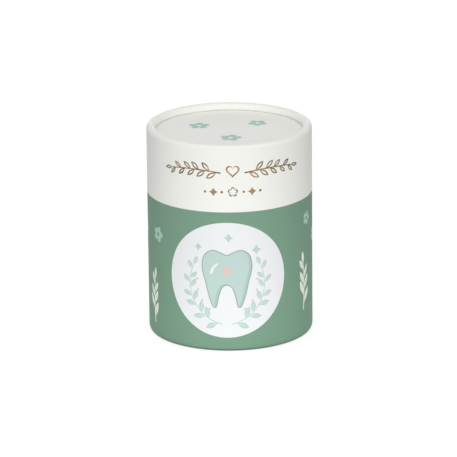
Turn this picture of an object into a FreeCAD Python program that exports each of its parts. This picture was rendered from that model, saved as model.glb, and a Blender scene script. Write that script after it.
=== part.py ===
import FreeCAD, Part
import math
import os
import Sketcher

# A round keepsake box for milk teeth: a rolled-edge paperboard tube with a lift-off lid.
# Millimetres. The axis is +Z, the origin is the middle of the foot ring and the front faces -Y.

# Driving dimensions
SIZES = {
    "outer_diameter": 55.0,  # across the papered tubes
    "overall_height": 70.5,  # foot ring to the top of the lid's rim
    "lid_height": 22.5,  # closing line to the top of the lid's rim
    "board_wall": 0.85,  # board of the two outer tubes
    "wrap_paper": 0.15,  # printed paper round a tube
    "glue_line": 0.04,  # glue between a tube and its paper
    "curl_core": 0.3,  # inside radius of a rolled edge
    "curl_flat": 0.3,  # crown pressed flat on a rolled edge
    "lap_width": 6.0,  # overlap of a wrap's two ends, at the back
    "lap_margin": 0.6,  # pressed-down stretch of the overlap, next to the rolled edge
    "disc_board": 1.2,  # board of the two end discs
    "disc_paper": 0.15,  # paper on both sides of a disc
    "disc_gap": 0.08,  # disc to tube, all round
    "seat_gap": 0.04,  # rolled edge to the disc that it holds
    "neck_wall": 0.9,  # board of the inner tube
    "neck_slip": 0.15,  # neck to the outer tubes, all round
    "neck_headroom": 2.3,  # mouth of the neck to the lid's lining
    "neck_round": 0.3,  # rounded edges of the neck's mouth
}

# Radii that follow from the driving dimensions
OUTER_RADIUS = "(Sizes.outer_diameter / 2)"
BOARD_INSET = "(Sizes.wrap_paper + Sizes.glue_line)"
BEAD_RADIUS = f"({BOARD_INSET} + Sizes.board_wall + Sizes.curl_core)"
BORE_RADIUS = f"({OUTER_RADIUS} - {BOARD_INSET} - Sizes.board_wall)"
DISC_RADIUS = f"({BORE_RADIUS} - Sizes.disc_gap)"
NECK_RADIUS = f"({BORE_RADIUS} - Sizes.neck_slip)"
MOUTH_RADIUS = f"({NECK_RADIUS} - Sizes.neck_wall)"

# Heights that follow from the driving dimensions
SEAM_HEIGHT = "(Sizes.overall_height - Sizes.lid_height)"
BASE_COVER_BOTTOM = f"(2 * {BEAD_RADIUS} + Sizes.seat_gap)"
BASE_DISC_BOTTOM = f"({BASE_COVER_BOTTOM} + Sizes.disc_paper)"
FLOOR_LINER_BOTTOM = f"({BASE_DISC_BOTTOM} + Sizes.disc_board)"
FLOOR_HEIGHT = f"({FLOOR_LINER_BOTTOM} + Sizes.disc_paper)"
LID_COVER_BOTTOM = f"(Sizes.overall_height - {BASE_DISC_BOTTOM})"
LID_DISC_BOTTOM = f"({LID_COVER_BOTTOM} - Sizes.disc_board)"
LID_LINER_BOTTOM = f"({LID_DISC_BOTTOM} - Sizes.disc_paper)"
MOUTH_HEIGHT = f"({LID_LINER_BOTTOM} - Sizes.neck_headroom)"

# Which end of a box half is rolled: the top of the lid, the bottom of the base
LID = 1
BASE = -1
BEAD_CENTRE = {
    LID: f"(Sizes.overall_height - {BEAD_RADIUS})",
    BASE: BEAD_RADIUS,
}

# How a sketch numbers the points of a line or arc, and its own origin
START = 1
END = 2
CENTRE = 3
ORIGIN = -1

QUARTER_TURN = math.pi / 2

doc = FreeCAD.newDocument("tooth_box")
sheet = doc.addObject("Spreadsheet::Sheet", "Sizes")
for row, (alias, size) in enumerate(SIZES.items(), start=1):
    sheet.set(f"A{row}", alias.replace("_", " "))
    sheet.set(f"B{row}", str(size))
    sheet.setAlias(f"B{row}", alias)
doc.recompute()


def value(expression):
    """The number that an expression on the sheet gives."""
    return float(sheet.evalExpression(expression))


def new_body(node):
    body = doc.addObject("PartDesign::Body", node)
    body.Label = node
    return body


def new_sketch(body, plane, name):
    """A sketch on one of the body's own origin planes."""
    sketch = body.newObject("Sketcher::SketchObject", name)
    support = [feature for feature in body.Origin.OriginFeatures if feature.Role == plane]
    sketch.AttachmentSupport = [(support[0], "")]
    sketch.MapMode = "FlatFace"
    return sketch


def bind(sketch, name, expression, kind, *where):
    """A named dimension of a sketch that follows the sheet."""
    index = sketch.addConstraint(Sketcher.Constraint(kind, *where, value(expression)))
    sketch.renameConstraint(index, name)
    sketch.setExpression(f"Constraints.{name}", expression)


def relate(sketch, kind, *where):
    sketch.addConstraint(Sketcher.Constraint(kind, *where))


def line(sketch, start, end):
    return sketch.addGeometry(Part.LineSegment(FreeCAD.Vector(*start), FreeCAD.Vector(*end)))


def round_line(centre, radius):
    return Part.Circle(FreeCAD.Vector(*centre), FreeCAD.Vector(0, 0, 1), radius)


def arc(sketch, centre, radius, start_angle, end_angle):
    """An arc that runs anticlockwise between two angles from the sketch's own X."""
    return sketch.addGeometry(Part.ArcOfCircle(round_line(centre, radius), start_angle, end_angle))


def revolve(body, sketch, name):
    """A profile turned right round the axis."""
    revolution = body.newObject("PartDesign::Revolution", name)
    revolution.Profile = sketch
    revolution.ReferenceAxis = (sketch, ["V_Axis"])
    revolution.Angle = 360
    return revolution


def rolled_side(sketch, half, inset, crown_centre, tip_centre):
    """One face of a rolled sheet: its wall, the roll, the flat crown and the half turn to the tip."""
    outer = value(OUTER_RADIUS) - value(inset)
    radius = value(BEAD_RADIUS) - value(inset)
    seam = value(SEAM_HEIGHT)
    crown = crown_centre[1] + half * radius
    wall = line(sketch, (outer, seam), (outer, crown_centre[1]))
    roll_start = 0 if half == LID else -QUARTER_TURN
    roll = arc(sketch, crown_centre, radius, roll_start, roll_start + QUARTER_TURN)
    flat = line(sketch, (crown_centre[0], crown), (tip_centre[0], crown))
    turn = arc(sketch, tip_centre, radius, QUARTER_TURN, 3 * QUARTER_TURN)
    near, far = (START, END) if half == LID else (END, START)
    relate(sketch, "Tangent", wall, END, roll, near)
    relate(sketch, "Tangent", roll, far, flat, START)
    relate(sketch, "Tangent", flat, END, turn, near)
    relate(sketch, "Vertical", wall)
    relate(sketch, "Horizontal", flat)
    return wall, roll, turn, far


def rolled_skin(node, half, inset, thickness):
    """A tube of board or paper whose outer end rolls inwards, as a profile turned about the axis."""
    body = new_body(node)
    sketch = new_sketch(body, "XZ_Plane", f"{node}_profile")
    inner_inset = f"({inset} + {thickness})"
    crown_radius = f"({OUTER_RADIUS} - {BEAD_RADIUS})"
    tip_radius = f"({crown_radius} - Sizes.curl_flat)"
    bead_height = value(BEAD_CENTRE[half])
    crown_centre = (value(crown_radius), bead_height, 0)
    tip_centre = (value(tip_radius), bead_height, 0)

    wall, roll, turn, tip = rolled_side(sketch, half, inset, crown_centre, tip_centre)
    inner_wall, inner_roll, inner_turn, tip = rolled_side(sketch, half, inner_inset, crown_centre, tip_centre)
    outer = value(OUTER_RADIUS) - value(inset)
    inner = value(OUTER_RADIUS) - value(inner_inset)
    seam = value(SEAM_HEIGHT)
    cut = line(sketch, (inner, seam), (outer, seam))
    tip_outer = bead_height - half * (value(BEAD_RADIUS) - value(inset))
    tip_inner = bead_height - half * (value(BEAD_RADIUS) - value(inner_inset))
    tip_edge = line(sketch, (tip_centre[0], tip_outer), (tip_centre[0], tip_inner))

    relate(sketch, "Coincident", cut, START, inner_wall, START)
    relate(sketch, "Coincident", cut, END, wall, START)
    relate(sketch, "Coincident", tip_edge, START, turn, tip)
    relate(sketch, "Coincident", tip_edge, END, inner_turn, tip)
    relate(sketch, "Horizontal", cut)
    relate(sketch, "Vertical", tip_edge)
    relate(sketch, "Vertical", turn, CENTRE, turn, tip)
    relate(sketch, "Coincident", inner_roll, CENTRE, roll, CENTRE)
    relate(sketch, "Coincident", inner_turn, CENTRE, turn, CENTRE)
    relate(sketch, "Horizontal", roll, CENTRE, turn, CENTRE)
    bind(sketch, "crown_radius", crown_radius, "DistanceX", ORIGIN, START, roll, CENTRE)
    bind(sketch, "tip_radius", tip_radius, "DistanceX", ORIGIN, START, turn, CENTRE)
    bind(sketch, "bead_height", BEAD_CENTRE[half], "DistanceY", ORIGIN, START, roll, CENTRE)
    bind(sketch, "seam_height", SEAM_HEIGHT, "DistanceY", ORIGIN, START, wall, START)
    bind(sketch, "roll_outside", f"({BEAD_RADIUS} - {inset})", "Radius", roll)
    bind(sketch, "roll_inside", f"({BEAD_RADIUS} - {inner_inset})", "Radius", inner_roll)
    revolve(body, sketch, f"{node}_turned")
    return body


def lap_seam(body, half):
    """The doubled strip at the back of a wrap, where its outer end lies over its inner end."""
    sketch = new_sketch(body, "YZ_Plane", f"{body.Label}_lap_profile")
    under = f"({OUTER_RADIUS} - Sizes.wrap_paper / 2)"
    over = f"({OUTER_RADIUS} + Sizes.wrap_paper)"
    lap_end = f"({BEAD_CENTRE[half]} - {half} * Sizes.lap_margin)"
    low, high = (SEAM_HEIGHT, lap_end) if half == LID else (lap_end, SEAM_HEIGHT)
    corners = [(under, low), (over, low), (over, high), (under, high)]
    points = [(value(radius), value(height), 0) for radius, height in corners]
    sides = [line(sketch, points[side], points[(side + 1) % len(points)]) for side in range(len(points))]
    for side in range(len(sides)):
        relate(sketch, "Coincident", sides[side], END, sides[(side + 1) % len(sides)], START)
        relate(sketch, "Vertical" if side % 2 else "Horizontal", sides[side])
    bind(sketch, "under", under, "DistanceX", ORIGIN, START, sides[0], START)
    bind(sketch, "over", over, "DistanceX", ORIGIN, START, sides[1], START)
    bind(sketch, "low", low, "DistanceY", ORIGIN, START, sides[0], START)
    bind(sketch, "high", high, "DistanceY", ORIGIN, START, sides[2], START)
    strip = revolve(body, sketch, f"{body.Label}_lap")
    strip.Midplane = True
    strip.setExpression("Angle", f"Sizes.lap_width / {OUTER_RADIUS} * 180 / pi")


def circle(sketch, name, radius):
    """A circle about the axis."""
    index = sketch.addGeometry(round_line((0, 0, 0), value(radius)))
    relate(sketch, "Coincident", index, CENTRE, ORIGIN, START)
    bind(sketch, name, radius, "Radius", index)


def raised_outline(node, bottom):
    """A body with a level sketch at the height bottom."""
    body = new_body(node)
    sketch = new_sketch(body, "XY_Plane", f"{node}_outline")
    sketch.setExpression("AttachmentOffset.Base.z", bottom)
    return body, sketch


def pad(body, sketch, length):
    feature = body.newObject("PartDesign::Pad", f"{body.Label}_pad")
    feature.Profile = sketch
    feature.setExpression("Length", length)
    return feature


def disc(node, bottom, thickness):
    """A die-cut disc of board or paper."""
    body, sketch = raised_outline(node, bottom)
    circle(sketch, "disc_radius", DISC_RADIUS)
    pad(body, sketch, thickness)


def neck(node):
    """The inner tube: it stands on the floor of the base, and the lid slides over its rounded mouth."""
    body, sketch = raised_outline(node, FLOOR_HEIGHT)
    circle(sketch, "neck_radius", NECK_RADIUS)
    circle(sketch, "mouth_radius", MOUTH_RADIUS)
    tube = pad(body, sketch, f"{MOUTH_HEIGHT} - {FLOOR_HEIGHT}")
    doc.recompute()
    top = tube.Shape.BoundBox.ZMax
    is_rim = [edge.BoundBox.ZMin > top - value("Sizes.neck_round") for edge in tube.Shape.Edges]
    rounding = body.newObject("PartDesign::Fillet", f"{node}_mouth")
    rounding.Base = (tube, [f"Edge{number}" for number, rim in enumerate(is_rim, start=1) if rim])
    rounding.setExpression("Radius", "Sizes.neck_round")


# The base, from its underside up
base_wrap = rolled_skin("base_wrap", BASE, "0", "Sizes.wrap_paper")
lap_seam(base_wrap, BASE)
rolled_skin("base_tube", BASE, BOARD_INSET, "Sizes.board_wall")
disc("base_disc_cover", BASE_COVER_BOTTOM, "Sizes.disc_paper")
disc("base_disc", BASE_DISC_BOTTOM, "Sizes.disc_board")
disc("floor_liner", FLOOR_LINER_BOTTOM, "Sizes.disc_paper")
neck("neck_tube")

# The lid, from its top down
lid_wrap = rolled_skin("lid_wrap", LID, "0", "Sizes.wrap_paper")
lap_seam(lid_wrap, LID)
rolled_skin("lid_tube", LID, BOARD_INSET, "Sizes.board_wall")
disc("lid_disc_cover", LID_COVER_BOTTOM, "Sizes.disc_paper")
disc("lid_disc", LID_DISC_BOTTOM, "Sizes.disc_board")
disc("lid_disc_liner", LID_LINER_BOTTOM, "Sizes.disc_paper")

doc.recompute()

# Nothing is written unless every object and every piece is sound
for item in doc.Objects:
    if "Invalid" in item.State or "Error" in item.State:
        raise RuntimeError(f"{item.Label} failed: {item.State}")
    if item.TypeId == "Sketcher::SketchObject" and not item.FullyConstrained:
        raise RuntimeError(f"{item.Label} is not fully constrained")
pieces = [item for item in doc.Objects if item.TypeId == "PartDesign::Body"]
for piece in pieces:
    if piece.Shape.isNull() or not piece.Shape.isValid() or len(piece.Shape.Solids) != 1:
        raise RuntimeError(f"{piece.Label} is not one valid solid")

os.makedirs("parts", exist_ok=True)
for piece in pieces:
    piece.Shape.exportStep(f"parts/{piece.Label}.step")
    print(f"{piece.Label}: {piece.Shape.Volume:.1f} cubic millimetres")
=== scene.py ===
import math

import bmesh
import bpy
from mathutils import Matrix, Vector
from mathutils.geometry import delaunay_2d_cdt


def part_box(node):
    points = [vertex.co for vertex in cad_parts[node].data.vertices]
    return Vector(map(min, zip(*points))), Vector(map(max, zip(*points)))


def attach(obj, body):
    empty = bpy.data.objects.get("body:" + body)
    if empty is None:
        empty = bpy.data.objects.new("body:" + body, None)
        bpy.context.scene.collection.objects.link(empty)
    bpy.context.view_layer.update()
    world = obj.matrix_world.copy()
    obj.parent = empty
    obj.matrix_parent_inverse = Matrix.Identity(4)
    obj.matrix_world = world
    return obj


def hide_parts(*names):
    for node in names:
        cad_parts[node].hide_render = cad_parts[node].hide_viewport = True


# The looks of a round keepsake box for milk teeth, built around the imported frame.
# Metres, with the front facing -Y. Prints are drawn in millimetres on the unrolled papers.

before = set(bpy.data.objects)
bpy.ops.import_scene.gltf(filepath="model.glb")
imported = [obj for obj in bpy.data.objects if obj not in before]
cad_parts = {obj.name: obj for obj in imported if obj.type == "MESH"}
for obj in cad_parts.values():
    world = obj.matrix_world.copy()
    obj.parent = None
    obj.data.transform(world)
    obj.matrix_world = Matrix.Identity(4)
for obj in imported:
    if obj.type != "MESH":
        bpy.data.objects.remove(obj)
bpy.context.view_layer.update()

MM = 0.001


def reach(node):
    """The largest distance of a node from the axis."""
    return max(vertex.co.xy.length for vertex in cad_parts[node].data.vertices)


# Papers and boards, as the frame has them
PAPER = 0.15 * MM
GLUE = 0.04 * MM
BOARD = 0.85 * MM
CURL_CORE = 0.3 * MM
CURL_FLAT = 0.3 * MM
NECK_WALL = 0.9 * MM
NECK_ROUND = 0.3 * MM
LAP_WIDTH = 6 * MM

# Places that follow from the frame
TUBE_RADIUS = reach("base_tube")
OUTER_RADIUS = TUBE_RADIUS + GLUE + PAPER
BEAD_RADIUS = PAPER + GLUE + BOARD + CURL_CORE
TIP_RADIUS = OUTER_RADIUS - BEAD_RADIUS - CURL_FLAT
NECK_RADIUS = reach("neck_tube")
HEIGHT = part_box("lid_wrap")[1].z
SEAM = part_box("base_wrap")[1].z

# The halves of the box, by the way their rolled edges face
LID = 1
BASE = -1

# Cut edges, the free edge of a lap, and the lid cover's edge, which is pressed up against the rolled rim
CUT_SOFTNESS = 0.06 * MM
LAP_BEVEL = 0.03 * MM
CUP_HEIGHT = 0.35 * MM
CUP_WIDTH = 4.5 * MM

# Fineness of the meshes; CUT_TOLERANCE is in millimetres, like the flat sheets that are cut
TURN_STEPS = 240
INSIDE_STEPS = 180
ROLL_STEPS = 10
HIDDEN_ROLL_STEPS = 6
MOUTH_STEPS = 5
CUP_RINGS = 12
ROW_STEP = 2 * MM
SHARP_ANGLE = math.radians(40)
WELD = 0.001 * MM
CUT_TOLERANCE = 1e-5

# The map that holds a wrap's print when it is exported: the sheet's front half below its back half, with
# clear edges, and the hidden side of the paper squeezed to a share of its length
MAP_NAME = "OFBake"
MAP_EDGE = 0.01
HIDDEN_SHARE = 0.06


# Shader nodes

# The range that most of a noise lies in
NOISE_LOW = 0.3
NOISE_HIGH = 0.7


def give(tree, given, socket):
    """Links another node's output to a socket, or sets the socket to a number or a colour."""
    if isinstance(given, bpy.types.NodeSocket):
        tree.links.new(given, socket)
    else:
        socket.default_value = given


def add(tree, kind, inputs=None, **settings):
    """A shader node with its settings and inputs."""
    made = tree.nodes.new(kind)
    for name, setting in settings.items():
        setattr(made, name, setting)
    for name, given in (inputs or {}).items():
        give(tree, given, made.inputs[name])
    return made


def math_node(tree, operation, *values):
    return add(tree, "ShaderNodeMath", dict(enumerate(values)), operation=operation).outputs[0]


def vector_node(tree, operation, inputs, output="Vector"):
    return add(tree, "ShaderNodeVectorMath", inputs, operation=operation).outputs[output]


def remap(tree, value, low, high, to_low=0.0, to_high=1.0, smooth=False):
    """Maps the range from low to high onto another, which holds past both ends."""
    inputs = {"Value": value, "From Min": low, "From Max": high, "To Min": to_low, "To Max": to_high}
    kind = "SMOOTHSTEP" if smooth else "LINEAR"
    return add(tree, "ShaderNodeMapRange", inputs, interpolation_type=kind).outputs["Result"]


def mix_colour(tree, factor, first, second):
    """A blend of two colours: 6, 7 and 2 are the numbers of the node's colour sockets."""
    return add(tree, "ShaderNodeMix", {0: factor, 6: first, 7: second}, data_type="RGBA").outputs[2]


def noise(tree, place, per_mm, detail, roughness):
    inputs = {"Vector": place, "Scale": per_mm, "Detail": detail, "Roughness": roughness}
    return add(tree, "ShaderNodeTexNoise", inputs).outputs[0]


def from_axis(tree, xyz):
    """The level vector from the axis to a place, and its length."""
    level = add(tree, "ShaderNodeCombineXYZ", {0: xyz.outputs[0], 1: xyz.outputs[1]}).outputs[0]
    return level, vector_node(tree, "LENGTH", {0: level}, "Value")


def add_relief(tree, shader, height, strength, depth):
    """Gives a shader a relief of a depth in millimetres, on top of the relief that it has."""
    normal = shader.inputs["Normal"]
    inputs = {"Height": height, "Strength": strength, "Distance": depth * MM}
    if normal.is_linked:
        inputs["Normal"] = normal.links[0].from_socket
    give(tree, add(tree, "ShaderNodeBump", inputs).outputs[0], normal)


def new_material(name):
    """A material with its node tree, its shader and the place on the object in millimetres."""
    material = bpy.data.materials.new(name)
    material.use_nodes = True
    tree = material.node_tree
    tree.nodes.clear()
    output = add(tree, "ShaderNodeOutputMaterial")
    shader = add(tree, "ShaderNodeBsdfPrincipled")
    tree.links.new(shader.outputs[0], output.inputs["Surface"])
    place = add(tree, "ShaderNodeTexCoord").outputs["Object"]
    in_mm = vector_node(tree, "SCALE", {0: place, "Scale": 1 / MM})
    return material, tree, shader, in_mm


def shade(colour, factor):
    return (*(min(1.0, part * factor) for part in colour[:3]), 1.0)


def srgb(red, green, blue):
    """A colour written as on a screen, 0 to 255, as the linear colour that shaders take."""
    def linear(part):
        part /= 255
        return part / 12.92 if part <= 0.04045 else ((part + 0.055) / 1.055) ** 2.4
    return (linear(red), linear(green), linear(blue), 1.0)


# Printed paper, in millimetres: its fibres lie along the axis

FIBRE_STRETCH = (1.0, 1.0, 0.35)
FIBRES_PER_MM = 5.0
TOOTH_PER_MM = 14.0
TOOTH_SHARE = 0.4
CLOUDS_PER_MM = 0.16
SMOOTHER = 0.05
ROUGHER = 0.07


def printed_paper(name, ink, roughness=0.5, fibre_depth=0.012, mottle=0.03, gloss=0.45):
    """Matte paper with fibres, uneven ink and a soft sheen; gives what new_material gives."""
    material, tree, shader, in_mm = new_material(name)
    stretched = vector_node(tree, "MULTIPLY", {0: in_mm, 1: FIBRE_STRETCH})
    fibres = noise(tree, stretched, FIBRES_PER_MM, detail=4.0, roughness=0.62)
    tooth = noise(tree, in_mm, TOOTH_PER_MM, detail=2.0, roughness=0.5)
    cloud = noise(tree, in_mm, CLOUDS_PER_MM, detail=3.0, roughness=0.55)
    uneven = mix_colour(tree, cloud, shade(ink, 1 - mottle), shade(ink, 1 + mottle))
    speck = remap(tree, fibres, low=0.35, high=0.75)
    give(tree, mix_colour(tree, speck, uneven, shade(ink, 1 - mottle)), shader.inputs["Base Color"])
    rough = remap(tree, fibres, NOISE_LOW, NOISE_HIGH, roughness - SMOOTHER, roughness + ROUGHER)
    give(tree, rough, shader.inputs["Roughness"])
    height = math_node(tree, "ADD", fibres, math_node(tree, "MULTIPLY", tooth, TOOTH_SHARE))
    add_relief(tree, shader, height, strength=0.5, depth=fibre_depth)
    shader.inputs["Specular IOR Level"].default_value = gloss
    return material, tree, shader, in_mm


def paper_material(name, ink, **finish):
    return printed_paper(name, ink, **finish)[0]


# The rolled edge of a paper, in millimetres: how far its rub, which on the base's foot also carries painted
# shade, reaches from the crown, and where it gathers

RUB_AND_SHADE_FULL = 0.05
RUB_AND_SHADE_END = 0.75
GATHERS_PER_MM = 1.3
GATHER_DEPTH = 0.12
GATHER_START = (OUTER_RADIUS - 0.3 * BEAD_RADIUS) / MM
GATHER_FULL = (OUTER_RADIUS - 2 * BEAD_RADIUS) / MM

# Flecks of the rub, and on the base's foot of the painted shade, show where a noise passes these levels,
# which more wear and shade bring down
FLECKS_PER_MM = 1.7
FLECK_START = 0.65
FLECK_FULL = 0.8
FLECK_GAIN = 0.2


def rolled_paper_material(name, ink, worn_and_shaded, wear_and_shade, crown, **finish):
    """Printed paper with a rolled edge: rubbed flecks on the crown, on the base's foot dark with painted
    shade as well as wear, and fine gathers where it turns in.
    """
    material, tree, shader, in_mm = printed_paper(name, ink, **finish)
    xyz = add(tree, "ShaderNodeSeparateXYZ", {0: in_mm})
    away = math_node(tree, "ABSOLUTE", math_node(tree, "SUBTRACT", xyz.outputs[2], crown / MM))
    band = remap(tree, away, RUB_AND_SHADE_FULL, RUB_AND_SHADE_END, to_low=1.0, to_high=0.0, smooth=True)
    spots = noise(tree, in_mm, FLECKS_PER_MM, detail=5.0, roughness=0.7)
    more = wear_and_shade * FLECK_GAIN
    flecks = remap(tree, spots, FLECK_START - more, FLECK_FULL - more, smooth=True)
    rubbed_and_shaded = math_node(tree, "MULTIPLY", math_node(tree, "MULTIPLY", band, flecks), wear_and_shade)
    printed = shader.inputs["Base Color"].links[0].from_socket
    give(tree, mix_colour(tree, rubbed_and_shaded, printed, worn_and_shaded), shader.inputs["Base Color"])

    level, radius = from_axis(tree, xyz)
    outwards = vector_node(tree, "NORMALIZE", {0: level})
    on_ring = vector_node(tree, "SCALE", {0: outwards, "Scale": OUTER_RADIUS / MM})
    gathers = noise(tree, on_ring, GATHERS_PER_MM, detail=2.0, roughness=0.6)
    turned_in = remap(tree, radius, GATHER_START, GATHER_FULL, smooth=True)
    height = math_node(tree, "MULTIPLY", gathers, turned_in)
    add_relief(tree, shader, height, strength=0.35, depth=GATHER_DEPTH)
    return material


# Wound board, in millimetres, with PLY_RATE in radians per millimetre

PULP_PER_MM = 3.2
PULP_DEPTH = 0.02
PLY_RATE = 30.0
PLY_WANDER = 0.12
PLY_SHARE = 0.5
GRAIN_SHARE = 0.35
JOINT_PITCH = 46.0
JOINT_HALF_WIDTH = 0.09
JOINT_CORE = JOINT_HALF_WIDTH * 0.4
JOINT_DARKNESS = 0.22
JOINT_DEPTH = 2.0


def board_material(name, pale, dark, lined=None):
    """Board whose plies show as fine rings on a cut edge, and whose faces are bare grey pulp or lined."""
    material, tree, shader, in_mm = new_material(name)
    xyz = add(tree, "ShaderNodeSeparateXYZ", {0: in_mm})
    radius = from_axis(tree, xyz)[1]
    pulp = noise(tree, in_mm, PULP_PER_MM, detail=5.0, roughness=0.65)
    wander = math_node(tree, "MULTIPLY", math_node(tree, "SUBTRACT", pulp, 0.5), PLY_WANDER)
    turns = math_node(tree, "MULTIPLY", math_node(tree, "ADD", radius, wander), PLY_RATE)
    ply = remap(tree, math_node(tree, "SINE", turns), low=-1.0, high=1.0)
    grain = math_node(tree, "MULTIPLY", remap(tree, pulp, low=0.3, high=0.72), GRAIN_SHARE)
    colour = mix_colour(tree, grain, mix_colour(tree, ply, dark, pale), shade(dark, 0.85))
    height = math_node(tree, "ADD", pulp, math_node(tree, "MULTIPLY", ply, PLY_SHARE))
    if lined:
        joint = ply_joint(tree, xyz)
        colour = mix_colour(tree, cut_edges(tree), lining_colour(tree, pulp, joint, lined), colour)
        height = math_node(tree, "SUBTRACT", height, math_node(tree, "MULTIPLY", joint, JOINT_DEPTH))
    give(tree, colour, shader.inputs["Base Color"])
    rough = remap(tree, pulp, NOISE_LOW, NOISE_HIGH, to_low=0.72, to_high=0.9)
    give(tree, rough, shader.inputs["Roughness"])
    add_relief(tree, shader, height, strength=0.6, depth=PULP_DEPTH)
    shader.inputs["Specular IOR Level"].default_value = 0.25
    return material


def lining_colour(tree, pulp, joint, lined):
    """The paper on a board's faces, a little uneven, and darker along the joint of its top ply."""
    lining = mix_colour(tree, remap(tree, pulp, low=0.35, high=0.7), lined, shade(lined, 0.95))
    darkness = math_node(tree, "MULTIPLY", joint, JOINT_DARKNESS)
    return mix_colour(tree, darkness, lining, shade(lined, 0.62))


def cut_edges(tree):
    """1 on faces that look up or down, 0 on upright ones."""
    normal = add(tree, "ShaderNodeNewGeometry").outputs["Normal"]
    facing = add(tree, "ShaderNodeSeparateXYZ", {0: normal}).outputs[2]
    return remap(tree, math_node(tree, "ABSOLUTE", facing), low=0.75, high=0.95, smooth=True)


def ply_joint(tree, xyz):
    """1 along the helical joint of the top ply, 0 elsewhere."""
    angle = math_node(tree, "ARCTAN2", xyz.outputs[1], xyz.outputs[0])
    climb = math_node(tree, "MULTIPLY", angle, JOINT_PITCH / math.tau)
    along = math_node(tree, "FLOORED_MODULO", math_node(tree, "ADD", xyz.outputs[2], climb), JOINT_PITCH)
    away = math_node(tree, "ABSOLUTE", math_node(tree, "SUBTRACT", along, JOINT_PITCH / 2))
    return remap(tree, away, JOINT_CORE, JOINT_HALF_WIDTH, to_low=1.0, to_high=0.0, smooth=True)


# Stamped foil, in millimetres

SWEEPS_PER_MM = 0.22
FOIL_GRAIN_PER_MM = 7.0
FOIL_DEPTH = 0.01


def foil_material(name, dark, light):
    """Hot-stamped metal foil: uneven sheen over paper that is pressed nearly flat."""
    material, tree, shader, in_mm = new_material(name)
    sweep = noise(tree, in_mm, SWEEPS_PER_MM, detail=2.0, roughness=0.5)
    grain = noise(tree, in_mm, FOIL_GRAIN_PER_MM, detail=3.0, roughness=0.6)
    blend = remap(tree, sweep, low=0.38, high=0.62, smooth=True)
    give(tree, mix_colour(tree, blend, dark, light), shader.inputs["Base Color"])
    rough = remap(tree, grain, NOISE_LOW, NOISE_HIGH, to_low=0.26, to_high=0.42)
    give(tree, rough, shader.inputs["Roughness"])
    add_relief(tree, shader, grain, strength=0.4, depth=FOIL_DEPTH)
    shader.inputs["Metallic"].default_value = 1.0
    return material


# Colours, as they look under plain light

SAGE = srgb(125, 160, 138)
# Dark flecks for the base's foot: partly wear, partly painted shade of the foot's underside
SCUFFED_AND_SHADED_SAGE = srgb(92, 116, 101)
WHITE_SHEET = srgb(246, 246, 241)
WORN_WHITE = srgb(233, 230, 222)
MEDALLION_WHITE = srgb(236, 238, 240)
MINT = srgb(190, 212, 206)
MINT_SHADE = srgb(172, 200, 192)
MINT_ON_GREEN = srgb(170, 205, 190)
MINT_ON_WHITE = srgb(166, 201, 189)
PENCIL = srgb(143, 168, 158)
BLUSH = srgb(226, 197, 189)
CREAM = srgb(242, 246, 234)
PAPER_BACK = srgb(233, 232, 224)
LINING = srgb(240, 239, 233)
FOIL_DARK = srgb(92, 79, 56)
FOIL_LIGHT = srgb(140, 119, 84)
TUBE_PALE = srgb(196, 189, 176)
TUBE_DARK = srgb(160, 152, 138)
NECK_PALE = srgb(214, 208, 196)
NECK_DARK = srgb(178, 170, 156)
NECK_LINED = srgb(241, 240, 234)

# Inks, papers and boards, by the names that the prints and the pieces use
looks = {
    # The base's foot gets dense dark flecks: wear, and painted shade of its underside
    "sage": rolled_paper_material("sage_print", SAGE, SCUFFED_AND_SHADED_SAGE, wear_and_shade=0.9, crown=0.0, roughness=0.54,
                                  gloss=0.08),
    "white_sheet": rolled_paper_material("white_sheet", WHITE_SHEET, WORN_WHITE, wear_and_shade=0.45, crown=HEIGHT,
                                         mottle=0.012),
    "white": paper_material("white_print", MEDALLION_WHITE, mottle=0.01),
    "mint": paper_material("mint_print", MINT, mottle=0.02),
    "mint_shade": paper_material("mint_shade_print", MINT_SHADE, mottle=0.02),
    "mint_on_green": paper_material("mint_on_green_print", MINT_ON_GREEN, mottle=0.025),
    "mint_on_white": paper_material("mint_on_white_print", MINT_ON_WHITE, mottle=0.03),
    "outline": paper_material("pencil_print", PENCIL, mottle=0.04),
    "blush": paper_material("blush_print", BLUSH, mottle=0.03),
    "cream": paper_material("cream_print", CREAM, mottle=0.02),
    "foil": foil_material("bronze_foil", FOIL_DARK, FOIL_LIGHT),
    "paper_back": paper_material("paper_back", PAPER_BACK, roughness=0.8, fibre_depth=0.02, gloss=0.2),
    "lining": paper_material("lining_paper", LINING, roughness=0.75, fibre_depth=0.025, mottle=0.02,
                             gloss=0.22),
    "tube_board": board_material("tube_board", TUBE_PALE, TUBE_DARK),
    "neck_board": board_material("neck_board", NECK_PALE, NECK_DARK, lined=NECK_LINED),
}


# Outlines of the prints, in millimetres

# Shares of the size of a leaf or a stem
LEAF_TAPER = 0.3
END_LEAF = 0.75
STEM_TAPER = 0.7
VEIN_SHARES = (0.12, 0.4, 0.75)
VEIN_WIDTH = 0.1
VEIN_END = 0.04

# The ends of an outlined leaf, in widths of its line
ROOT_LINES = 1.3
END_LINES = 2.7

# Shapes of leaves, blossoms and hearts
LEAF_SKEW = 1.15
PETALS = 5
PETAL_FULLNESS = 0.55
HEART_SPAN = 32


def even_turns(steps):
    return [math.tau * step / steps for step in range(steps)]


def oval(centre, half_width, half_height, steps):
    outline = []
    for angle in even_turns(steps):
        across = half_width * math.cos(angle)
        up = half_height * math.sin(angle)
        outline.append(Vector((centre[0] + across, centre[1] + up)))
    return outline


def circle(centre, radius, steps=24):
    return oval(centre, radius, radius, steps)


def smooth_outline(points, steps=7):
    """A closed smooth curve through a few chosen points."""
    corners = [Vector(point) for point in points]
    count = len(corners)
    outline = []
    for index in range(count):
        before, start, end, after = (corners[(index + shift) % count] for shift in (-1, 0, 1, 2))
        for step in range(steps):
            share = step / steps
            outline.append(0.5 * (2 * start + (end - before) * share
                                  + (2 * before - 5 * start + 4 * end - after) * share ** 2
                                  + (3 * start - before - 3 * end + after) * share ** 3))
    return outline


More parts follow.
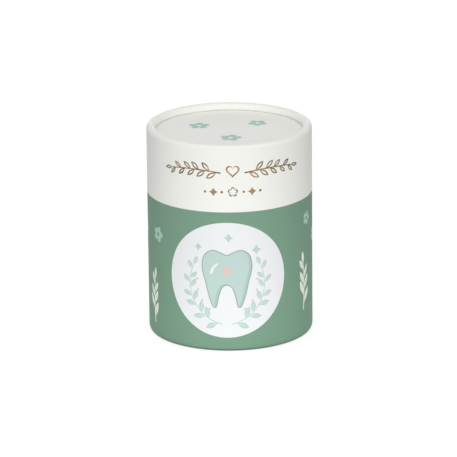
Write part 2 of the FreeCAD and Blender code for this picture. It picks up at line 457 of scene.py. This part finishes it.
def inset(outline, by, more=0.0, side=Vector((1, 0))):
    """An anticlockwise outline moved inwards by a distance, and by more where it faces a side."""
    count = len(outline)
    moved = []
    for index in range(count):
        along = (outline[(index + 1) % count] - outline[index - 1]).normalized()
        outwards = Vector((along.y, -along.x))
        moved.append(outline[index] - outwards * (by + more * max(0.0, outwards.dot(side))))
    return moved


def placed(outline, centre, turn=0.0, size=1.0):
    rotation = Matrix.Rotation(turn, 2)
    return [rotation @ (point * size) + Vector(centre) for point in outline]


def leaf(root, direction, length, width, steps=9):
    """A slender leaf, widest past its middle, that points along direction (radians)."""
    upper = []
    for step in range(steps + 1):
        share = step / steps
        upper.append(Vector((share * length, width / 2 * math.sin(math.pi * share ** LEAF_SKEW))))
    lower = [Vector((point.x, -point.y)) for point in reversed(upper[1:-1])]
    return placed(upper + lower, root, direction)


def along_path(path, index):
    """The way that a path runs at one of its points."""
    return path[min(index + 1, len(path) - 1)] - path[max(index - 1, 0)]


def heading_at(path, index):
    along = along_path(path, index)
    return math.atan2(along.y, along.x)


def stroke(path, width, end_width):
    """A drawn line along a path, of one width at its start and another at its end."""
    left, right = [], []
    last = len(path) - 1
    for index, point in enumerate(path):
        along = along_path(path, index).normalized()
        half = (width + (end_width - width) * index / last) / 2
        side = Vector((-along.y, along.x)) * half
        left.append(point + side)
        right.append(point - side)
    return right + left[::-1]


def bend(start, direction, length, curve, steps=16):
    """A path that leaves start along direction and turns steadily by curve (radians)."""
    point = Vector(start)
    path = [point.copy()]
    for step in range(steps):
        heading = direction + curve * (step + 0.5) / steps
        point = point + Vector((math.cos(heading), math.sin(heading))) * (length / steps)
        path.append(point.copy())
    return path


def sparkle(centre, radius, steps=24):
    """A four-pointed star with hollow sides."""
    outline = []
    for angle in even_turns(steps):
        across = radius * math.cos(angle) ** 3
        up = radius * math.sin(angle) ** 3
        outline.append(Vector((centre[0] + across, centre[1] + up)))
    return outline


def blossom(centre, radius, turn, steps=80):
    """A round flower of full petals."""
    outline = []
    for angle in even_turns(steps):
        out = radius * (0.5 + 0.5 * abs(math.cos(PETALS * angle / 2)) ** PETAL_FULLNESS)
        outline.append(Vector((out * math.cos(angle), out * math.sin(angle))))
    return placed(outline, centre, turn)


def heart(centre, width, steps=32):
    """A heart of a given width, from a curve that spans 32."""
    scale = width / HEART_SPAN
    outline = []
    for turn in even_turns(steps):
        across = -16 * math.sin(turn) ** 3
        up = 13 * math.cos(turn) - 5 * math.cos(2 * turn) - 2 * math.cos(3 * turn) - math.cos(4 * turn)
        outline.append(Vector((centre[0] + across * scale, centre[1] + up * scale)))
    return outline


def drawn_leaf(root, direction, length, width, ink, ground, line_width=0.0):
    """A leaf with its vein in the ground's ink or, with a line width, only the leaf's outline."""
    shapes = [(leaf(root, direction, length, width), ink)]
    along = Vector((math.cos(direction), math.sin(direction)))
    if line_width:
        inside = root + along * line_width * ROOT_LINES
        inner = leaf(inside, direction, length - END_LINES * line_width, width - 2 * line_width)
        shapes.append((inner, ground))
    else:
        vein = [root + along * length * share for share in VEIN_SHARES]
        shapes.append((stroke(vein, VEIN_WIDTH * width, VEIN_END * width), ground))
    return shapes


def branch(path, leaves, length, width, spread, line_width, ink, ground, outlined=False, first=-1):
    """A stem with leaves on both sides in turn, the first on side 1 or -1, and one at its end."""
    leaf_line = line_width if outlined else 0.0
    shapes = [(stroke(path, line_width, line_width * STEM_TAPER), ink)]
    last = len(path) - 1
    for count in range(leaves):
        share = (count + 1) / (leaves + 1)
        index = round(share * last)
        side = -first if count % 2 else first
        size = 1 - LEAF_TAPER * share
        turn = heading_at(path, index) + side * spread
        shapes += drawn_leaf(path[index], turn, length * size, width * size, ink, ground, leaf_line)
    end = heading_at(path, last)
    return shapes + drawn_leaf(path[-1], end, length * END_LEAF, width * END_LEAF, ink, ground, leaf_line)


# The base's print: a tooth in a wreath on a round white field, with sprays and blossoms round the sides

MEDALLION_CENTRE = Vector((-1.2, 24.58))
MEDALLION_HALF = (20.4, 19.85)
MEDALLION_STEPS = 144
WREATH_FOOT = (1.6, -15.2)
WREATH_LEAN = math.radians(78)
WREATH_LENGTH = 25.5
WREATH_CURVE = math.radians(104)
BERRY_POINTS = slice(4, 14, 3)
BERRY_SHARE = 0.8
BERRY_RADIUS = 0.38
TOOTH_SIZE = 1.07
TOOTH_RISE = Vector((0, 0.9))
TOOTH_HALF = [(0, 7.4), (2.1, 8.3), (4.6, 8.9), (7.2, 7.1), (7.9, 3.0), (6.8, -1.6),
              (5.9, -5.6), (4.6, -9.3), (3.3, -9.5), (2.5, -6.2), (1.5, -3.4), (0, -2.5)]
OUTLINE_WIDTH = 0.32
SHADE_WIDTH = 0.8
SHADE_SIDE = Vector((0.94, -0.34))
SHINE_START = Vector((-5.2, 2.2))
TOOTH_HEART = Vector((0, 3.0))

# Sparkles over the tooth: place from the field's centre, and size
SPARKLES = [(-9.6, 11.2, 1.5), (9.9, 10.2, 1.9), (0.6, 14.6, 1.7)]

# Sprays: place along the paper, height, length and lean in degrees; their parts are shares of the length
SPRAYS = [(-31.5, 5.0, 19.0, 8), (-51.0, 12.0, 21.0, -6), (-70.0, 4.5, 18.0, 5),
          (29.5, 9.5, 20.0, -7), (49.0, 4.5, 18.5, 7), (67.5, 11.0, 21.0, -4)]
SPRAY_STEM = 0.78
SPRAY_LEAF = 0.34
SPRAY_LEAF_WIDTH = 0.105

# Blossoms: place along the paper, height and radius, with their eye as a share of the radius
BLOSSOMS = [(-28.8, 36.5, 2.7), (-41.5, 36.0, 2.3), (-60.5, 40.0, 2.7), (-61.0, 8.0, 2.2),
            (-75.5, 33.0, 2.4), (32.0, 40.8, 2.4), (40.0, 33.0, 2.7), (57.5, 39.0, 2.3),
            (58.5, 7.5, 2.6), (76.0, 40.0, 2.5)]
BLOSSOM_EYE = 0.24


def wreath(centre):
    """Two leafy branches with berries, up both sides of a centre."""
    shapes = []
    for side in (1, -1):
        start = centre + Vector((side * WREATH_FOOT[0], WREATH_FOOT[1]))
        path = bend(start, math.pi / 2 - side * WREATH_LEAN, WREATH_LENGTH, side * WREATH_CURVE)
        shapes += branch(path, leaves=11, length=4.6, width=2.0, spread=math.radians(42), line_width=0.34,
                         ink="mint", ground="white", first=-side)
        for point in path[BERRY_POINTS]:
            shapes.append((circle(centre + (point - centre) * BERRY_SHARE, BERRY_RADIUS), "blush"))
    return shapes


def plain_tooth(centre):
    """A tooth with an outline, a shaded side, a shine and a heart."""
    mirrored = [(-across, up) for across, up in reversed(TOOTH_HALF[1:-1])]
    clockwise = smooth_outline(TOOTH_HALF + mirrored)
    tooth = placed(clockwise[::-1], centre + TOOTH_RISE, size=TOOTH_SIZE)
    shine = bend(centre + SHINE_START, math.radians(88), length=4.4, curve=math.radians(-62))
    return [(tooth, "outline"),
            (inset(tooth, OUTLINE_WIDTH), "mint_shade"),
            (inset(tooth, OUTLINE_WIDTH, SHADE_WIDTH, SHADE_SIDE), "mint"),
            (stroke(shine, width=0.95, end_width=0.55), "white"),
            (heart(centre + TOOTH_HEART, width=3.6), "blush")]


def base_prints():
    shapes = [(oval(MEDALLION_CENTRE, *MEDALLION_HALF, MEDALLION_STEPS), "white")]
    shapes += wreath(MEDALLION_CENTRE)
    shapes += plain_tooth(MEDALLION_CENTRE)
    for across, up, size in SPARKLES:
        shapes.append((sparkle(MEDALLION_CENTRE + Vector((across, up)), size), "mint"))
    for across, up, length, lean in SPRAYS:
        path = bend((across, up), math.radians(90 + lean), length * SPRAY_STEM, math.radians(-2 * lean))
        shapes += branch(path, leaves=6, length=length * SPRAY_LEAF, width=length * SPRAY_LEAF_WIDTH,
                         spread=math.radians(27), line_width=0.55, ink="cream", ground="sage")
    for index, (across, up, radius) in enumerate(BLOSSOMS):
        shapes.append((blossom((across, up), radius, turn=index), "mint_on_green"))
        shapes.append((circle((across, up), radius * BLOSSOM_EYE), "sage"))
    return shapes


# The lid's print: a stamped garland in fine lines, over a small row of marks

GARLAND_CENTRE = Vector((1.0, 62.0))
GARLAND_START = (3.9, -0.7)
GARLAND_RISE = math.radians(10)
GARLAND_LENGTH = 17.6
GARLAND_CURVE = math.radians(18)
GARLAND_STEPS = 24
FOIL_LINE = 0.48
LID_HEART_WIDTH = 4.6
LID_HEART_RISE = Vector((0, 0.1))
HEART_HOLLOW_WIDTH = 3.4
HEART_HOLLOW_RISE = Vector((0, 0.15))
SMALL_ROW_CENTRE = Vector((1.0, 54.9))
DOT_PLACES = (3.6, 9.2)
DOT_RADIUS = 0.42
SPARKLE_PLACE = 6.4
SPARKLE_RADIUS = 1.6
LID_BLOSSOM_RADIUS = 1.7


def lid_prints():
    shapes = [(heart(GARLAND_CENTRE + LID_HEART_RISE, LID_HEART_WIDTH), "foil"),
              (heart(GARLAND_CENTRE + HEART_HOLLOW_RISE, HEART_HOLLOW_WIDTH), "white_sheet")]
    for side in (1, -1):
        start = GARLAND_CENTRE + Vector((side * GARLAND_START[0], GARLAND_START[1]))
        direction = GARLAND_RISE if side == 1 else math.pi - GARLAND_RISE
        path = bend(start, direction, GARLAND_LENGTH, -side * GARLAND_CURVE, GARLAND_STEPS)
        shapes += branch(path, leaves=9, length=4.3, width=1.75, spread=math.radians(40),
                         line_width=FOIL_LINE, ink="foil", ground="white_sheet", outlined=True, first=-side)
        for across in DOT_PLACES:
            shapes.append((circle(SMALL_ROW_CENTRE + Vector((side * across, 0)), DOT_RADIUS), "foil"))
        place = SMALL_ROW_CENTRE + Vector((side * SPARKLE_PLACE, 0))
        shapes.append((sparkle(place, SPARKLE_RADIUS), "foil"))
    upright = math.pi / 2
    shapes.append((blossom(SMALL_ROW_CENTRE, LID_BLOSSOM_RADIUS, upright), "foil"))
    shapes.append((blossom(SMALL_ROW_CENTRE, LID_BLOSSOM_RADIUS - FOIL_LINE, upright), "white_sheet"))
    return shapes


# Blossoms on top of the lid: place from its middle, radius and turn
LID_TOP_BLOSSOMS = [(-10.0, 7.0, 3.5, 0.3), (9.5, 9.5, 3.2, 0.9), (0.5, -8.0, 3.6, 0.1)]


def lid_top_prints():
    shapes = []
    for across, back, radius, turn in LID_TOP_BLOSSOMS:
        shapes.append((blossom((across, back), radius, turn), "mint_on_white"))
        shapes.append((circle((across, back), radius * BLOSSOM_EYE), "white_sheet"))
    return shapes


# Meshes

LAP_ANGLE = LAP_WIDTH / OUTER_RADIUS
LAP_EDGE = math.pi - LAP_ANGLE / 2
LAP_STEP = LAP_BEVEL / OUTER_RADIUS


def turn_angles(steps=TURN_STEPS, with_lap=False):
    """Angles of a turned mesh, from the back round the front, and two more at the free edge of a lap."""
    angles = [turn - math.pi for turn in even_turns(steps)]
    if with_lap:
        angles = sorted(angles + [LAP_EDGE - LAP_STEP, LAP_EDGE + LAP_STEP])
    return angles


def lap_rise(angle):
    """How far the paper's outer end stands proud over its inner end."""
    past = (angle - LAP_EDGE) % math.tau
    return PAPER * (1 - past / LAP_ANGLE) if past < LAP_ANGLE else 0.0


def around(radius, angle, height):
    return Vector((radius * math.sin(angle), -radius * math.cos(angle), height))


def arc_points(centre, radius, start, end, steps):
    """Points of an arc in the (radius, height) plane, between two angles in degrees."""
    points = []
    for step in range(steps + 1):
        angle = math.radians(start + (end - start) * step / steps)
        points.append((centre[0] + radius * math.cos(angle), centre[1] + radius * math.sin(angle)))
    return points


def lathe(build, profile, angles, closed=True):
    """Turns a profile of (radius, height) points about the axis: its rings of points and bands of faces."""
    rings = []
    for radius, height in profile:
        rings.append([build.verts.new(around(radius, angle, height)) for angle in angles])
    pairs = list(zip(rings, rings[1:]))
    if closed:
        pairs.append((rings[-1], rings[0]))
    count = len(angles)
    bands = []
    for ring, following in pairs:
        band = []
        for index in range(count):
            after = (index + 1) % count
            band.append(build.faces.new((ring[index], ring[after], following[after], following[index])))
        bands.append(band)
    return rings, bands


def doubled_area(outline):
    """Twice the area of an outline, below 0 if its points run clockwise."""
    return sum(outline[index - 1].cross(point) for index, point in enumerate(outline))


def cut_sheet(points, shapes, inks):
    """Cuts printed outlines into a flat sheet: its points, its triangles and the number of each ink."""
    places = [Vector(point) for point in points]
    outlines = []
    for outline, _ in shapes:
        first = len(places)
        places.extend(outline if doubled_area(outline) > 0 else outline[::-1])
        outlines.append(list(range(first, len(places))))
    spots, _, triangles, _, _, within = delaunay_2d_cdt(places, [], outlines, 0, CUT_TOLERANCE)
    printed = [inks.index(shapes[max(source)][1]) if source else 0 for source in within]
    return spots, triangles, printed


def finish_mesh(node, build, names, body):
    """Welds a built mesh, gives it its looks and seats it on its body in place of its node."""
    bmesh.ops.remove_doubles(build, verts=build.verts, dist=WELD)
    bmesh.ops.recalc_face_normals(build, faces=build.faces)
    mesh = bpy.data.meshes.new(f"{node}_dressed")
    build.to_mesh(mesh)
    build.free()
    for polygon in mesh.polygons:
        polygon.use_smooth = True
    mesh.set_sharp_from_angle(angle=SHARP_ANGLE)
    for name in names:
        mesh.materials.append(looks[name])
    piece = bpy.data.objects.new(f"{node}_dressed", mesh)
    bpy.context.scene.collection.objects.link(piece)
    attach(piece, body)
    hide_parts(node)


# Wraps and tubes, whose edges roll in together

# Rings of a wrap that rise with its lap: where the wall starts to roll, and the two of the wall's cut edge
LAPPED_RINGS = (0, -2, -1)


def bead_height(half):
    """The height of the middle of a rolled edge."""
    return HEIGHT - BEAD_RADIUS if half == LID else BEAD_RADIUS


def wall_cut(half):
    """The height where a wrap's wall ends in its softened cut edge."""
    return SEAM + half * CUT_SOFTNESS


def rolled_face(half, depth, steps):
    """One face of a rolled sheet, a depth below the wrap's, from the end of its wall to its tip."""
    radius = BEAD_RADIUS - depth
    height = bead_height(half)
    roll = arc_points((OUTER_RADIUS - BEAD_RADIUS, height), radius, 0, 90 * half, steps)
    turn = arc_points((TIP_RADIUS, height), radius, 90 * half, 270 * half, 2 * steps)
    return roll + turn


def wrap_section(half):
    """A wrap's section past its wall, as (radius, height) points: its roll, then its back and cut edge."""
    roll = rolled_face(half, 0.0, ROLL_STEPS)
    back = rolled_face(half, PAPER, ROLL_STEPS)[::-1] + [(OUTER_RADIUS - PAPER, SEAM)]
    cut_edge = [(OUTER_RADIUS - CUT_SOFTNESS, SEAM), (OUTER_RADIUS, wall_cut(half))]
    return roll, back + cut_edge


def map_lengths(wall_length, section, shown):
    """How far along a wrap's map each point of its section lies; past those shown it is squeezed."""
    along = [wall_length]
    for index, (point, following) in enumerate(zip(section, section[1:])):
        share = 1.0 if index < shown - 1 else HIDDEN_SHARE
        along.append(along[-1] + share * math.dist(point, following))
    return along


def lay_on_map(face, layer, corners, length):
    """Lays a wrap's face on its map, by each corner's angle and place along a sheet of a given length."""
    middle_angle = sum(angle for angle, _ in corners) / len(corners)
    strip = 0 if abs(middle_angle) < math.pi / 2 else 1
    turn = math.tau if strip and middle_angle < 0 else 0.0
    for loop, (angle, along) in zip(face.loops, corners):
        across = 0.5 + (angle + turn) / math.pi - strip
        place = Vector((across, along / length)) * (1 - 2 * MAP_EDGE) + Vector((MAP_EDGE, MAP_EDGE))
        loop[layer].uv = (place.x, (strip + place.y) / 2)


def add_wall(build, layer, half, angles, shapes, inks, length):
    """A wrap's wall: a printed sheet, cut flat and wound round the tube."""
    start = wall_cut(half)
    end = bead_height(half)
    rows = round(abs(end - start) / ROW_STEP)
    heights = [start + (end - start) * row / rows for row in range(rows + 1)]
    scale = OUTER_RADIUS / MM
    grid = [(angle * scale, height / MM) for height in heights for angle in angles + [math.pi]]
    spots, triangles, printed = cut_sheet(grid, shapes, inks)
    wall = []
    for spot in spots:
        angle = spot.x / scale
        wall.append(build.verts.new(around(OUTER_RADIUS + lap_rise(angle), angle, spot.y * MM)))
    for triangle, ink in zip(triangles, printed):
        face = build.faces.new([wall[index] for index in triangle])
        face.material_index = ink
        corners = [(spots[index].x / scale, abs(spots[index].y * MM - start)) for index in triangle]
        lay_on_map(face, layer, corners, length)


def add_roll(build, layer, section, shown, along, angles, inks):
    """A wrap's rolled edge, its hidden back and its cut edge."""
    rings, bands = lathe(build, section, angles, closed=False)
    for number in LAPPED_RINGS:
        radius, height = section[number]
        for vertex, angle in zip(rings[number], angles):
            vertex.co = around(radius + lap_rise(angle), angle, height)
    ends = angles[1:] + [angles[0] + math.tau]
    for number, band in enumerate(bands):
        ink = 0 if number < shown - 1 else inks.index("paper_back")
        here, there = along[number:number + 2]
        for face, angle, after in zip(band, angles, ends):
            face.material_index = ink
            corners = [(angle, here), (after, here), (after, there), (angle, there)]
            lay_on_map(face, layer, corners, along[-1])


def rolled_wrap(node, half, shapes, inks, body):
    """A printed wrap: its wall is cut from the flat sheet, and its edge rolls in with the tube."""
    build = bmesh.new()
    layer = build.loops.layers.uv.new(MAP_NAME)
    angles = turn_angles(with_lap=True)
    roll, hidden = wrap_section(half)
    section = roll + hidden
    along = map_lengths(abs(bead_height(half) - wall_cut(half)), section, len(roll))
    add_wall(build, layer, half, angles, shapes, inks, along[-1])
    add_roll(build, layer, section, len(roll), along, angles, inks)
    finish_mesh(node, build, inks, body)


def rolled_tube(node, half, body):
    """A board tube whose edge rolls in under its wrap."""
    build = bmesh.new()
    outside = PAPER + GLUE
    inside = outside + BOARD
    profile = [(OUTER_RADIUS - outside, SEAM)] + rolled_face(half, outside, HIDDEN_ROLL_STEPS)
    profile += rolled_face(half, inside, HIDDEN_ROLL_STEPS)[::-1] + [(OUTER_RADIUS - inside, SEAM)]
    lathe(build, profile, turn_angles(INSIDE_STEPS))
    finish_mesh(node, build, ["tube_board"], body)


# The neck and the discs

def neck_piece(node, body):
    """The inner tube, with a rounded mouth."""
    build = bmesh.new()
    low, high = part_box(node)
    inner = NECK_RADIUS - NECK_WALL
    round_height = high.z - NECK_ROUND
    mouth = arc_points((NECK_RADIUS - NECK_ROUND, round_height), NECK_ROUND, 0, 90, MOUTH_STEPS)
    mouth += arc_points((inner + NECK_ROUND, round_height), NECK_ROUND, 90, 180, MOUTH_STEPS)
    lathe(build, [(NECK_RADIUS, low.z)] + mouth + [(inner, low.z)], turn_angles(INSIDE_STEPS))
    finish_mesh(node, build, ["neck_board"], body)


def cupped(radius):
    """How far the lid's cover stands up at a radius, where its edge is pressed against the rolled rim."""
    share = min(1.0, max(0.0, (radius - TIP_RADIUS + CUP_WIDTH) / CUP_WIDTH))
    inside = min(0.0, radius - TIP_RADIUS)
    if inside < -BEAD_RADIUS:
        return CUP_HEIGHT * share ** 2
    under_rim = BEAD_RADIUS - math.sqrt(BEAD_RADIUS ** 2 - inside ** 2)
    return min(CUP_HEIGHT * share ** 2, under_rim)


def disc_piece(node, inks, body, shapes=(), cup=False):
    """A die-cut disc; its prints, if any, are on its upper face, whose edge may be cupped."""
    build = bmesh.new()
    low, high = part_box(node)
    radius = reach(node)
    angles = turn_angles()
    a_third = (high.z - low.z) / 3
    soft = min(CUT_SOFTNESS, a_third)
    face_radius = radius - soft
    profile = [(face_radius, low.z), (radius, low.z + soft), (radius, high.z - soft), (face_radius, high.z)]
    rings, _ = lathe(build, profile, angles, closed=False)
    build.faces.new(rings[0])
    radii = [face_radius]
    if cup:
        radii += [TIP_RADIUS - CUP_WIDTH * ring / CUP_RINGS for ring in range(CUP_RINGS + 1)]
    flat = [around(ring, angle, 0).xy / MM for ring in radii for angle in angles]
    spots, triangles, printed = cut_sheet(flat, shapes, inks)
    top = []
    for spot in spots:
        rise = cupped(spot.length * MM) if cup else 0.0
        top.append(build.verts.new((spot.x * MM, spot.y * MM, high.z + rise)))
    for triangle, ink in zip(triangles, printed):
        build.faces.new([top[index] for index in triangle]).material_index = ink
    finish_mesh(node, build, inks, body)


# The pieces; the first ink of each is its ground

base_inks = ["sage", "paper_back", "white", "mint", "mint_shade",
             "mint_on_green", "outline", "blush", "cream"]
lid_inks = ["white_sheet", "paper_back", "foil"]
lid_top_inks = ["white_sheet", "mint_on_white"]

rolled_wrap("base_wrap", BASE, base_prints(), base_inks, "base")
rolled_wrap("lid_wrap", LID, lid_prints(), lid_inks, "lid")
rolled_tube("base_tube", BASE, "base")
rolled_tube("lid_tube", LID, "lid")
neck_piece("neck_tube", "base")
disc_piece("base_disc", ["tube_board"], "base")
disc_piece("lid_disc", ["tube_board"], "lid")
disc_piece("lid_disc_cover", lid_top_inks, "lid", lid_top_prints(), cup=True)
disc_piece("base_disc_cover", ["lining"], "base")
disc_piece("floor_liner", ["lining"], "base")
disc_piece("lid_disc_liner", ["lining"], "lid")


# The stage: a white floor that keeps a soft shadow, and a white surround

WHITE = (1.0, 1.0, 1.0, 1.0)
FLOOR_SIZE = 6.0
FLOOR_SHADE = (0.3, 0.3, 0.3, 1.0)
FLOOR_GLOW = 0.8
FADE_START = 0.2
FADE_END = 0.8
# Painted contact shade on the floor as the camera sees it, close round the box's foot
CONTACT_PAINTED_SHADE_REACH = 0.4 * MM
CONTACT_PAINTED_SHADE_GLOW = 0.1
# Painted shade on the floor's bounce light, close round the box's rolled foot
BOUNCE_PAINTED_SHADE_REACH = 1.5 * MM
BOUNCE_PAINTED_SHADE = (0.05, 0.05, 0.05, 1.0)
SHADE_SAMPLES = 8
CARD_RADIUS = 0.08
CARD_FADE = 0.08
CARD_COLOUR = (0.92, 0.92, 0.92, 1.0)
TABLE_COLOUR = (0.18, 0.18, 0.18, 1.0)
AMBIENT = 0.47
LOW_LAMP_HEIGHT = 0.012


def seen_directly(tree):
    """1 for rays that show the background itself, 0 for those that light the object."""
    path = add(tree, "ShaderNodeLightPath")
    seen = math_node(tree, "MAXIMUM", path.outputs["Is Camera Ray"], path.outputs["Is Glossy Ray"])
    return math_node(tree, "MAXIMUM", seen, path.outputs["Is Transmission Ray"])


def openness(tree, distance):
    """1 where nothing is near, and less where something closes in within a distance."""
    inputs = {"Distance": distance}
    return add(tree, "ShaderNodeAmbientOcclusion", inputs, samples=SHADE_SAMPLES).outputs["AO"]


def lighting_floor(tree, away):
    """What lights the object: a pale card under it, on a grey table, with painted shade on the card close
    round the rolled edge.
    """
    past_card = remap(tree, away, CARD_RADIUS, CARD_RADIUS + CARD_FADE, smooth=True)
    card = mix_colour(tree, past_card, CARD_COLOUR, TABLE_COLOUR)
    colour = mix_colour(tree, openness(tree, BOUNCE_PAINTED_SHADE_REACH), BOUNCE_PAINTED_SHADE, card)
    return add(tree, "ShaderNodeBsdfDiffuse", {"Color": colour}).outputs[0]


def shown_floor(tree, away):
    """What the camera sees: a glow that ends in white, with painted shade where the object meets it, and
    the object's shadow.
    """
    shadowed = add(tree, "ShaderNodeBsdfDiffuse", {"Color": FLOOR_SHADE}).outputs[0]
    glow = remap(tree, away, FADE_START, FADE_END, FLOOR_GLOW, 1.0, smooth=True)
    strength = remap(tree, openness(tree, CONTACT_PAINTED_SHADE_REACH), 0.0, 1.0, CONTACT_PAINTED_SHADE_GLOW, glow)
    glowing = add(tree, "ShaderNodeEmission", {"Color": WHITE, "Strength": strength}).outputs[0]
    return add(tree, "ShaderNodeAddShader", {0: shadowed, 1: glowing}).outputs[0]


def floor_material():
    material = bpy.data.materials.new("stage_floor")
    material.use_nodes = True
    tree = material.node_tree
    tree.nodes.clear()
    place = add(tree, "ShaderNodeNewGeometry").outputs["Position"]
    away = vector_node(tree, "LENGTH", {0: place}, "Value")
    choices = {0: seen_directly(tree), 1: lighting_floor(tree, away), 2: shown_floor(tree, away)}
    surface = add(tree, "ShaderNodeMixShader", choices).outputs[0]
    add(tree, "ShaderNodeOutputMaterial", {"Surface": surface})
    return material


def make_floor():
    half = FLOOR_SIZE / 2
    corners = [(-half, -half, 0), (half, -half, 0), (half, half, 0), (-half, half, 0)]
    mesh = bpy.data.meshes.new("floor")
    mesh.from_pydata(corners, [], [(0, 1, 2, 3)])
    mesh.materials.append(floor_material())
    floor = bpy.data.objects.new("floor", mesh)
    bpy.context.scene.collection.objects.link(floor)


def make_world():
    world = bpy.data.worlds.new("studio")
    bpy.context.scene.world = world
    world.use_nodes = True
    tree = world.node_tree
    tree.nodes.clear()
    soft = add(tree, "ShaderNodeBackground", {"Color": WHITE, "Strength": AMBIENT}).outputs[0]
    white = add(tree, "ShaderNodeBackground", {"Color": WHITE, "Strength": 1.0}).outputs[0]
    surface = add(tree, "ShaderNodeMixShader", {0: seen_directly(tree), 1: soft, 2: white}).outputs[0]
    add(tree, "ShaderNodeOutputWorld", {"Surface": surface})


def make_lamp(name, place, target, width, height, power, glossy=True):
    lamp = bpy.data.lights.new(name, "AREA")
    lamp.shape = "RECTANGLE"
    lamp.size = width
    lamp.size_y = height
    lamp.energy = power
    made = bpy.data.objects.new(name, lamp)
    made.location = place
    made.rotation_euler = (Vector(target) - Vector(place)).to_track_quat("-Z", "Y").to_euler()
    made.visible_camera = False
    made.visible_glossy = glossy
    bpy.context.scene.collection.objects.link(made)


make_floor()
make_world()
middle = Vector((0, 0, HEIGHT / 2))
foot = Vector((0, 0, LOW_LAMP_HEIGHT))
make_lamp("key", place=(0, -1.3, 0.55), target=middle, width=0.9, height=0.7, power=9.7, glossy=False)
make_lamp("back", place=(0, 1.3, 0.12), target=middle, width=0.6, height=0.5, power=9.0, glossy=False)
make_lamp("low", place=(0, -0.19, LOW_LAMP_HEIGHT), target=foot, width=0.34, height=0.02, power=0.053)
make_lamp("top", place=(0, 0.15, 1.2), target=middle, width=1.0, height=1.0, power=1.7)


# The camera, from the photograph's outline: sizes in pixels of the 457-pixel frame

IMAGE_SIDE = 457
FOCAL_PIXELS = 3686
AXIS_PIXEL = Vector((230.05, 224.60))
DISTANCE = 1.2335
ELEVATION = math.radians(17.39)
ROLL = math.radians(-0.576)
SENSOR = 36.0
NEAR = 0.01
FAR = 20.0


def make_camera():
    right = Vector((1, 0, 0))
    back = Vector((0, -math.cos(ELEVATION), math.sin(ELEVATION)))
    up = back.cross(right)
    rolled_right = math.cos(ROLL) * right + math.sin(ROLL) * up
    rolled_up = math.cos(ROLL) * up - math.sin(ROLL) * right
    off_centre = (AXIS_PIXEL - Vector((IMAGE_SIDE / 2, IMAGE_SIDE / 2))) * DISTANCE / FOCAL_PIXELS
    aim = middle - off_centre.x * rolled_right + off_centre.y * rolled_up
    lens = bpy.data.cameras.new("camera")
    lens.sensor_width = SENSOR
    lens.lens = SENSOR * FOCAL_PIXELS / IMAGE_SIDE
    lens.clip_start = NEAR
    lens.clip_end = FAR
    camera = bpy.data.objects.new("camera", lens)
    turned = Matrix((rolled_right, rolled_up, back)).transposed()
    camera.matrix_world = Matrix.Translation(aim + back * DISTANCE) @ turned.to_4x4()
    bpy.context.scene.collection.objects.link(camera)
    bpy.context.scene.camera = camera


make_camera()
bpy.context.scene.view_settings.view_transform = "Standard"
